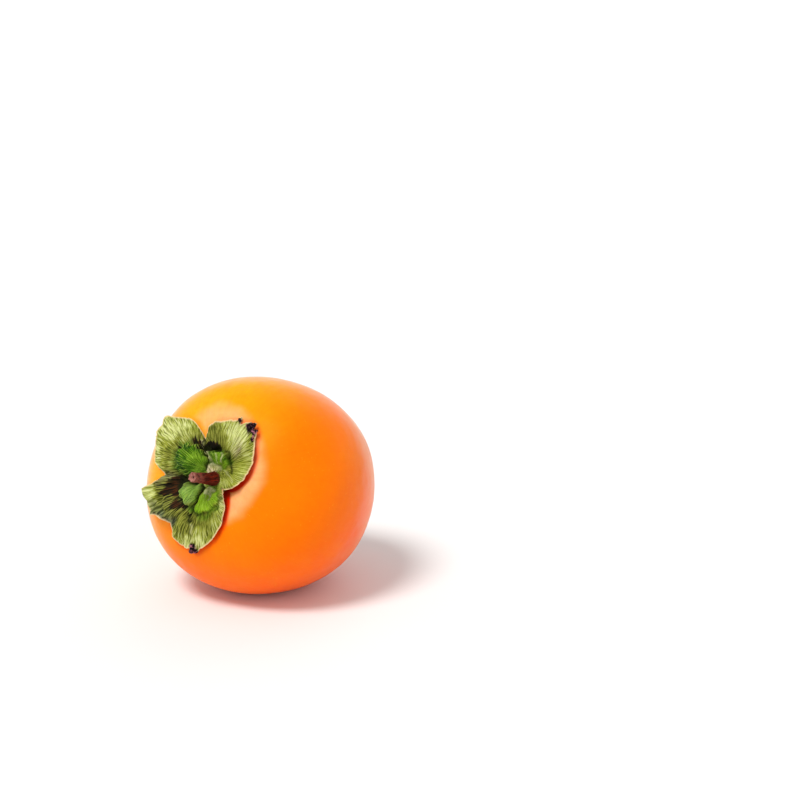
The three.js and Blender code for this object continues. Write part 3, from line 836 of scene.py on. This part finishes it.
class Shade:
    """A short way to write a material's nodes."""

    def __init__(self, name):
        self.material = bpy.data.materials.new(name)
        self.material.use_nodes = True
        self.tree = self.material.node_tree
        self.shader = self.tree.nodes["Principled BSDF"]

    def link(self, value, socket):
        if isinstance(value, bpy.types.NodeSocket):
            self.tree.links.new(value, socket)
        elif isinstance(value, (tuple, list)) and len(value) == 3 and socket.type == "RGBA":
            socket.default_value = (*value, 1)
        else:
            socket.default_value = value

    def node(self, kind, inputs=(), **settings):
        node = self.tree.nodes.new(kind)
        for key, value in settings.items():
            setattr(node, key, value)
        for key, value in dict(inputs).items():
            self.link(value, node.inputs[key])
        return node

    def value(self, name):
        return self.node("ShaderNodeAttribute", attribute_name=name).outputs["Fac"]

    def values(self, *names):
        return [self.value(name) for name in names]

    def math(self, operation, a, b, clamp=False):
        return self.node("ShaderNodeMath", {0: a, 1: b}, operation=operation, use_clamp=clamp).outputs[0]

    def plus(self, a, b):
        return self.math("ADD", a, b)

    def times(self, a, b, clamp=False):
        return self.math("MULTIPLY", a, b, clamp)

    def band(self, value, low, high, start=0.0, end=1.0):
        """A smooth change from start, at low, to end, at high."""
        inputs = {"Value": value, "From Min": low, "From Max": high, "To Min": start, "To Max": end}
        return self.node("ShaderNodeMapRange", inputs, interpolation_type="SMOOTHSTEP").outputs["Result"]

    def blend(self, share, a, b):
        node = self.node("ShaderNodeMix", data_type="RGBA")
        self.link(share, node.inputs["Factor"])
        self.link(a, node.inputs[6])
        self.link(b, node.inputs[7])
        return node.outputs[2]

    def paint(self, colour, coats):
        """The colour under coats, each given as its name, how much of it shows and its own colour."""
        for name, share, coat in coats:
            colour = self.blend(share, colour, coat)
            colour.node.label = name
        return colour

    def vector(self, x, y, z=0.0):
        return self.node("ShaderNodeCombineXYZ", {0: x, 1: y, 2: z}).outputs[0]

    def place(self):
        """The point's place in millimetres."""
        point = self.node("ShaderNodeTexCoord").outputs["Object"]
        return self.node("ShaderNodeVectorMath", {0: point, "Scale": 1 / MM}, operation="SCALE").outputs[0]

    def noise(self, vector, scale, detail=3.0, roughness=0.5):
        """Smooth random values, about as many to a unit of the vector as scale says."""
        inputs = {"Vector": vector, "Scale": scale, "Detail": detail, "Roughness": roughness}
        return self.node("ShaderNodeTexNoise", inputs).outputs["Fac"]

    def bump(self, height, depth, strength, normal=None):
        """A bump of the height's pattern, as many millimetres deep as depth, over the bump before it."""
        inputs = {"Height": height, "Distance": depth * MM, "Strength": strength}
        if normal is not None:
            inputs["Normal"] = normal
        return self.node("ShaderNodeBump", inputs).outputs["Normal"]

    def set(self, **inputs):
        for key, value in inputs.items():
            self.link(value, self.shader.inputs[key.replace("_", " ")])


SKIN_FIBRES = 40.0
SKIN_GLOW_DEPTH = 3.5


def skin_material():
    s = Shade("persimmon_skin")
    place = s.place()
    arc, from_tip, ripe_and_shaded, up = s.values("arc", "from_tip", "ripe_and_shaded", "up")
    azimuth_x, azimuth_y, bloom_and_sheen, painted_shadow = s.values("azimuth_x", "azimuth_y", "bloom_and_sheen", "painted_shadow")
    broad = s.noise(place, 0.05, 3.0, 0.55)
    mottle = s.noise(place, 0.45, 5.0, 0.6)
    halo = s.times(bloom_and_sheen, s.band(s.noise(place, 0.22, 6.0, 0.6), 0.2, 0.8, 0.75, 1.0))
    speck = s.node("ShaderNodeTexVoronoi", {"Vector": place, "Scale": 0.85, "Randomness": 1.0})
    dots = s.band(speck.outputs["Distance"], 0.1, 0.2, 1.0, 0.0)
    dots = s.times(dots, s.band(s.noise(place, 0.35), 0.45, 0.65))
    scuff = s.band(s.noise(place, 0.9, 6.0, 0.75), 0.6, 0.72)
    scuff = s.times(scuff, s.band(s.noise(place, 0.055, 2.0), 0.52, 0.66, 0.0, 0.45))
    around = s.vector(s.times(azimuth_x, SKIN_FIBRES), s.times(azimuth_y, SKIN_FIBRES), s.times(arc, 0.12))
    fibre = s.noise(around, 1.0, 4.0, 0.6)
    ring = s.times(s.band(from_tip, 1.0, 3.4, 1.0, 0.0), s.band(mottle, 0.3, 0.6, 0.6, 1.0))
    # Painted sheen: the skin turns pale pink where it is seen aslant towards its outline, fading out towards
    # the underside
    aslant = s.node("ShaderNodeLayerWeight", {"Blend": 0.5}).outputs["Facing"]
    painted_rim_sheen = s.times(s.band(aslant, 0.54, 1.05), s.band(up, -0.85, 0.3, 0.0, 0.6))
    # Painted light and shade: yellow on the side towards the key light and red away from it, partly the riper
    # side's own colour; also darker and redder towards the bottom
    least_ripe_and_lit = (0.95, 0.41, 0.001)
    colour = s.paint(least_ripe_and_lit, [
        ("ripe_and_shaded", s.band(ripe_and_shaded, -0.9, 0.0), (0.95, 0.19, 0.001)),
        ("ripest_and_most_shaded", s.band(ripe_and_shaded, 0.2, 0.95), (0.92, 0.11, 0.001)),
        ("broad patches", s.band(broad, 0.35, 0.7, 0.0, 0.25), (0.95, 0.24, 0.001)),
        ("blossom end", s.band(arc, 80, 116, 0.0, 0.4), (0.88, 0.09, 0.001)),
        ("underside", s.band(up, -0.35, -0.95, 0.0, 0.75), (0.86, 0.075, 0.001)),
        # Painted sheen: this pale coat is partly waxy bloom and partly a highlight painted into the colour
        ("bloom_and_sheen", s.times(halo, 0.9, clamp=True), (0.97, 0.47, 0.2)),
        # Painted shadow: deep red on the skin just beyond the lobes' right edges, where they cast shade
        ("painted_shadow", s.times(painted_shadow, 1.1, clamp=True), (0.66, 0.01, 0.001)),
        ("mottle", s.band(mottle, 0.3, 0.75, 0.0, 0.14), (0.85, 0.12, 0.001)),
        ("dots", s.times(dots, 0.35), (0.97, 0.42, 0.03)),
        ("scuffs", s.times(scuff, s.band(arc, 44, 62)), (0.5, 0.12, 0.012)),
        ("fibres", s.band(fibre, 0.4, 0.7, 0.0, 0.08), (0.8, 0.1, 0.001)),
        ("tip ring", s.times(ring, 0.55), (0.42, 0.055, 0.004)),
        ("tip", s.band(from_tip, 0.7, 1.3, 1.0, 0.0), (0.035, 0.014, 0.006)),
        ("painted_rim_sheen", painted_rim_sheen, (1.0, 0.55, 0.42)),
    ])
    roughness = s.band(s.noise(place, 0.3, 4.0, 0.6), 0.3, 0.75, 0.36, 0.46)
    roughness = s.plus(roughness, s.times(halo, 0.08))
    roughness = s.plus(roughness, s.band(up, -0.4, -0.9, 0.0, 0.35))
    normal = s.bump(s.noise(place, 1.5, 4.0, 0.6), 0.06, 0.5)
    normal = s.bump(s.noise(place, 0.28, 2.0), 0.4, 0.35, normal)
    s.set(Base_Color=colour, Roughness=roughness, Normal=normal)
    s.set(Subsurface_Weight=0.5, Subsurface_Scale=SKIN_GLOW_DEPTH * MM, Subsurface_Radius=(1.0, 0.22, 0.05))
    s.set(Specular_IOR_Level=0.25, Specular_Tint=(1.0, 0.5, 0.08), IOR=1.45)
    s.set(Sheen_Weight=0.1, Sheen_Roughness=0.3, Sheen_Tint=(1.0, 0.8, 0.7))
    return s.material


STREAKS_PER_RADIAN = 58.0
THREADS_PER_RADIAN = 120.0
LEAF_GLOW_DEPTH = 0.8


def blade_colour(s, fibre, patches):
    """The leafy blades: olive to pale green, with pale ribs and dark lines between them."""
    pale, olive, bruised = s.values("pale", "olive", "bruised")
    lime, depth, brown = s.values("lime", "depth", "brown")
    tone = s.plus(s.math("SUBTRACT", pale, olive), s.band(patches, 0.3, 0.7, -0.3, 0.3))
    lit = s.blend(s.band(tone, -0.5, 0.8), (0.3, 0.31, 0.05), (0.66, 0.68, 0.33))
    gap = s.times(s.band(fibre, 0.5, 0.24, 0.0, 0.92), s.band(tone, 0.9, -0.3, 0.6, 1.0))
    striped = s.band(fibre, 0.3, 0.7)
    near_fold = s.plus(s.band(depth, -5.0, -0.5, 0.0, 0.35), s.times(brown, 0.4))
    shade = s.times(near_fold, s.band(fibre, 0.62, 0.38, 0.2, 1.0), clamp=True)
    dark_olive = (0.095, 0.105, 0.01)
    return s.paint(dark_olive, [
        ("green", s.band(tone, -0.8, 0.2), (0.28, 0.31, 0.032)),
        ("pale green", s.band(tone, 0.1, 1.0), (0.48, 0.52, 0.15)),
        ("ribs", s.band(fibre, 0.5, 0.76, 0.0, 0.85), lit),
        ("between ribs", gap, (0.05, 0.058, 0.004)),
        ("bruises", s.times(bruised, 0.8, clamp=True),
         s.blend(striped, (0.1, 0.075, 0.035), (0.42, 0.33, 0.24))),
        ("lime", s.times(lime, 0.6, clamp=True), s.blend(striped, (0.12, 0.16, 0.003), (0.46, 0.5, 0.05))),
        ("beside the folds", shade, (0.062, 0.052, 0.006)),
    ])


def fold_colour(s, fibre, patches):
    """The swollen folds round the stem: vivid green, deep in places and lime in others."""
    lime, ear, deep, depth = s.values("lime", "ear", "deep", "depth")
    ear_tone = s.blend(s.band(patches, 0.3, 0.7), (0.22, 0.38, 0.06), (0.34, 0.47, 0.13))
    dark_green = (0.028, 0.11, 0.001)
    return s.paint(dark_green, [
        ("green", s.band(fibre, 0.3, 0.6), (0.12, 0.28, 0.004)),
        ("lime", s.times(lime, 0.85, clamp=True), (0.24, 0.42, 0.012)),
        ("ear", s.times(ear, 0.8), ear_tone),
        ("deep", s.times(deep, 0.95, clamp=True), (0.012, 0.06, 0.001)),
        ("ribs", s.band(fibre, 0.54, 0.76, 0.0, 0.7), (0.34, 0.5, 0.06)),
        ("between ribs", s.band(fibre, 0.44, 0.24, 0.0, 0.75), (0.016, 0.055, 0.001)),
        # Painted shade: darker green where the folds round off into the creases beside them
        ("edge", s.band(depth, 0.7, 0.0, 0.0, 0.5), (0.03, 0.075, 0.002)),
    ])


def calyx_material():
    s = Shade("persimmon_calyx")
    place = s.place()
    fan, run, arc, edge, rib, fold = s.values("fan", "run", "arc", "edge", "rib", "fold")
    crest, crinkle, top_side, under = s.values("crest", "crinkle", "top_side", "under")
    groove, seam, crease, shreds = s.values("groove", "seam", "crease", "shreds")
    brown, black_shadow, grey, dry = s.values("brown", "black_shadow", "grey", "dry")
    streaks = s.noise(s.vector(s.times(fan, STREAKS_PER_RADIAN), s.times(run, 0.34)), 1.0, 2.0, 0.6)
    threads = s.noise(s.vector(s.times(fan, THREADS_PER_RADIAN), s.times(run, 0.6)), 1.0, 3.0, 0.7)
    patches = s.noise(place, 0.2, 4.0, 0.6)
    fine = s.noise(place, 1.6, 4.0, 0.65)
    hairs = s.plus(s.times(s.band(streaks, 0.3, 0.7), 0.35), s.times(s.band(threads, 0.3, 0.7), 0.2))
    fibre = s.plus(s.times(s.band(rib, -1.2, 1.2), 0.45), hairs)

    crest_share = s.times(crest, s.band(fibre, 0.25, 0.6, 0.5, 1.0), clamp=True)
    collar = s.band(s.plus(arc, s.times(s.band(fibre, 0.3, 0.7), 1.2)), 4.0, 5.2, 1.0, 0.0)
    collar = s.times(collar, s.band(top_side, 0.15, 0.9, 0.0, 0.9))
    ragged = s.plus(s.band(fibre, 0.25, 0.75, 0.3, -0.3), s.band(patches, 0.3, 0.7, -0.15, 0.15))
    brown = s.times(s.band(s.plus(brown, ragged), 0.35, 0.8), 0.97)
    black_shadow = s.times(s.band(s.plus(black_shadow, ragged), 0.4, 0.85), 0.95)
    # Painted shade: dark in the grooves, seams and creases, where shade falls
    dark = s.times(s.math("MAXIMUM", groove, seam), s.band(fine, 0.3, 0.6, 0.4, 0.8))
    dark = s.math("MAXIMUM", dark, s.times(crease, s.band(fine, 0.25, 0.6, 0.75, 1.1)))
    grey = s.times(grey, s.band(fibre, 0.3, 0.7, 0.85, 0.6), clamp=True)
    husk = s.plus(s.noise(place, 1.1, 4.0, 0.7), s.times(shreds, 0.2))
    colour = s.paint(blade_colour(s, fibre, patches), [
        ("folds", fold, fold_colour(s, fibre, patches)),
        ("crests", crest_share, (0.52, 0.52, 0.26)),
        ("collar", collar, s.blend(s.band(crinkle, -0.8, 0.5), (0.34, 0.33, 0.13), (0.84, 0.7, 0.44))),
        # Brown: partly browned tissue and partly painted shade in the hollows
        ("brown", brown, s.blend(s.band(fibre, 0.52, 0.9), (0.004, 0.0015, 0.0005), (0.1, 0.02, 0.006))),
        # Painted shadow: near-black in the hollows and under the folds' edges
        ("black_shadow", black_shadow, (0.004, 0.003, 0.001)),
        ("creases", s.math("MINIMUM", dark, 0.97), (0.01, 0.014, 0.001)),
        ("grey", grey, s.blend(s.band(fibre, 0.35, 0.65), (0.035, 0.045, 0.022), (0.17, 0.2, 0.12))),
        # Pale rim: the lobes' own pale margin, partly painted light where the rounded edge turns away into
        # shade
        ("rim", s.band(s.plus(edge, s.times(fine, 0.7)), 0.45, 1.25, 0.85, 0.0), (0.88, 0.64, 0.34)),
        ("beneath", s.times(under, 0.75), (0.2, 0.23, 0.09)),
        ("dried tips", dry, s.blend(s.band(husk, 0.62, 0.86), (0.007, 0.002, 0.004), (0.36, 0.13, 0.17))),
    ])
    normal = s.bump(streaks, 0.2, 0.7)
    normal = s.bump(threads, 0.12, 0.6, normal)
    normal = s.bump(fine, 0.1, 0.4, normal)
    s.set(Base_Color=colour, Roughness=s.band(fold, 0.0, 1.0, 0.66, 0.5), Normal=normal)
    s.set(Subsurface_Weight=0.1, Subsurface_Scale=LEAF_GLOW_DEPTH * MM, Subsurface_Radius=(0.6, 1.0, 0.25))
    s.set(IOR=1.42, Specular_IOR_Level=0.1)
    return s.material


def stem_material():
    s = Shade("persimmon_stem")
    place = s.place()
    turn_x, turn_y, share, wrinkle = s.values("turn_x", "turn_y", "share", "wrinkle")
    cut, spread = s.values("cut", "spread")
    around = s.vector(s.times(turn_x, 5.0), s.times(turn_y, 5.0), s.times(share, 4.0))
    streaks = s.noise(around, 1.0, 5.0, 0.65)
    fine = s.noise(place, 2.2, 4.0, 0.65)
    dark_bark = (0.05, 0.0015, 0.0005)
    bark = s.paint(dark_bark, [
        ("red", s.band(streaks, 0.38, 0.66), (0.19, 0.016, 0.004)),
        ("flecks", s.band(fine, 0.56, 0.74, 0.0, 0.45), (0.38, 0.12, 0.07)),
        # Paler and pinker towards the cut end: partly the bark's own colour and partly a painted highlight
        ("paler end", s.band(share, 0.55, 0.95, 0.0, 0.55), (0.34, 0.12, 0.085)),
        # Painted shade: darker in the dents of the bark's wrinkles
        ("shade_in_wrinkles", s.band(wrinkle, 0.02, -0.12, 0.0, 0.75), (0.022, 0.003, 0.002)),
        ("foot", s.band(share, 0.26, 0.14, 0.0, 0.35), (0.2, 0.13, 0.05)),
    ])
    dark_wood = (0.26, 0.085, 0.058)
    wood = s.paint(dark_wood, [
        ("pale", s.band(s.noise(place, 1.3, 4.0, 0.6), 0.35, 0.65), (0.46, 0.21, 0.17)),
        ("pores", s.band(s.noise(place, 3.0, 3.0, 0.6), 0.5, 0.7, 0.0, 0.5), (0.16, 0.04, 0.025)),
        ("pit", s.band(spread, 0.3, 0.16, 0.0, 0.9), (0.04, 0.01, 0.008)),
        ("edge", s.band(spread, 0.84, 0.97, 0.0, 0.6), (0.17, 0.045, 0.028)),
    ])
    normal = s.bump(streaks, 0.25, 0.7)
    normal = s.bump(fine, 0.15, 0.6, normal)
    s.set(Base_Color=s.blend(cut, bark, wood), Roughness=s.band(fine, 0.3, 0.7, 0.55, 0.75), Normal=normal)
    s.set(Specular_IOR_Level=0.1)
    return s.material


# The object

skin = skin_piece()
calyx, socket_floor, foot_radius = calyx_piece()
stem = stem_piece(socket_floor, foot_radius)
for piece, node, slot, material in (
    (skin, "fruit_body", "skin", skin_material()),
    (calyx, "calyx", "calyx_leaf", calyx_material()),
    (stem, "stem", "stem_bark", stem_material()),
):
    piece.data.materials.append(material)
    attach(piece, "root")
    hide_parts(node)


# The studio: a pale floor a hair below the flat spot, a pale room that is dimmer further up, and soft suns,
# each with its name, the way towards it, its strength, its width in degrees and its colour

FLOOR_RADIUS = 3200
FLOOR_DROP = 0.1
FLOOR_SIDES = 128
FLOOR_COLOUR = (0.86, 0.86, 0.86)
ROOM_COLOUR = (1.0, 0.99, 0.98, 1)
ROOM_DIMMING = {"From Min": 0.02, "From Max": 0.75, "To Min": 1.0, "To Max": 0.42}
SUNS = [
    ("key", (-0.14, -0.55, 0.9), 2.4, 20, (1.0, 0.985, 0.96)),
    ("back", (-0.1, 0.75, 0.55), 0.35, 50, (1, 1, 1)),
    ("fill", (0.75, -0.55, 0.4), 0.25, 50, (1, 1, 1)),
]


def floor_disc():
    azimuth_deg = np.arange(FLOOR_SIDES) * 360 / FLOOR_SIDES
    drop = np.full((FLOOR_SIDES, 1), -FLOOR_DROP)
    corners = np.concatenate([flat_place(azimuth_deg, FLOOR_RADIUS), drop], axis=-1)
    mesh = bpy.data.meshes.new("floor")
    mesh.from_pydata((corners * MM).tolist(), [], [list(range(FLOOR_SIDES))])
    s = Shade("floor")
    s.set(Base_Color=FLOOR_COLOUR, Roughness=0.7, Specular_IOR_Level=0.2)
    mesh.materials.append(s.material)
    return add_to_scene("floor", mesh)


def studio_world():
    """A pale room, white at the horizon and dimmer above."""
    world = bpy.data.worlds.new("studio")
    world.use_nodes = True
    nodes, links = world.node_tree.nodes, world.node_tree.links
    height = nodes.new("ShaderNodeSeparateXYZ")
    links.new(nodes.new("ShaderNodeTexCoord").outputs["Generated"], height.inputs[0])
    band = nodes.new("ShaderNodeMapRange")
    links.new(height.outputs["Z"], band.inputs["Value"])
    for socket, value in ROOM_DIMMING.items():
        band.inputs[socket].default_value = value
    background = nodes["Background"]
    background.inputs["Color"].default_value = ROOM_COLOUR
    links.new(band.outputs["Result"], background.inputs["Strength"])
    bpy.context.scene.world = world


def sun(name, direction, strength, angle_deg, colour):
    light = bpy.data.lights.new(name, "SUN")
    light.energy = strength
    light.angle = math.radians(angle_deg)
    light.color = colour
    lamp = add_to_scene(name, light)
    lamp.rotation_euler = Vector(direction).to_track_quat("Z", "Y").to_euler()


floor_disc()
studio_world()
for values in SUNS:
    sun(*values)


# The camera, placed to match the photograph's view and the fruit's place in it, in pixels from its top left

CAMERA_AZIMUTH = math.radians(31.5)
CAMERA_ELEVATION = math.radians(18)
CAMERA_DISTANCE = 900
SENSOR_WIDTH = 36
CLIP_END = 20000
MM_PER_PIXEL = 0.343
PICTURE = 800
FRUIT_AT = (263.65, 484.7)

pixel = MM_PER_PIXEL * MM
back = Vector((
    math.sin(CAMERA_AZIMUTH) * math.cos(CAMERA_ELEVATION),
    -math.cos(CAMERA_AZIMUTH) * math.cos(CAMERA_ELEVATION),
    math.sin(CAMERA_ELEVATION),
))
right = Vector((math.cos(CAMERA_AZIMUTH), math.sin(CAMERA_AZIMUTH), 0))
above = back.cross(right)
centre = Vector(CENTRE * MM)
place = centre + back * (CAMERA_DISTANCE * MM)
aside = right * ((PICTURE / 2 - FRUIT_AT[0]) * pixel)
lower = above * ((PICTURE / 2 - FRUIT_AT[1]) * pixel)
look = place - (centre + aside - lower)
camera = add_to_scene("camera", bpy.data.cameras.new("camera"))
camera.location = place
camera.rotation_euler = look.to_track_quat("Z", "Y").to_euler()
camera.data.sensor_width = SENSOR_WIDTH
camera.data.lens = (place - centre).dot(look.normalized()) / (pixel * PICTURE) * SENSOR_WIDTH
camera.data.clip_end = CLIP_END * MM
bpy.context.scene.camera = camera
bpy.context.scene.view_settings.view_transform = "Standard"
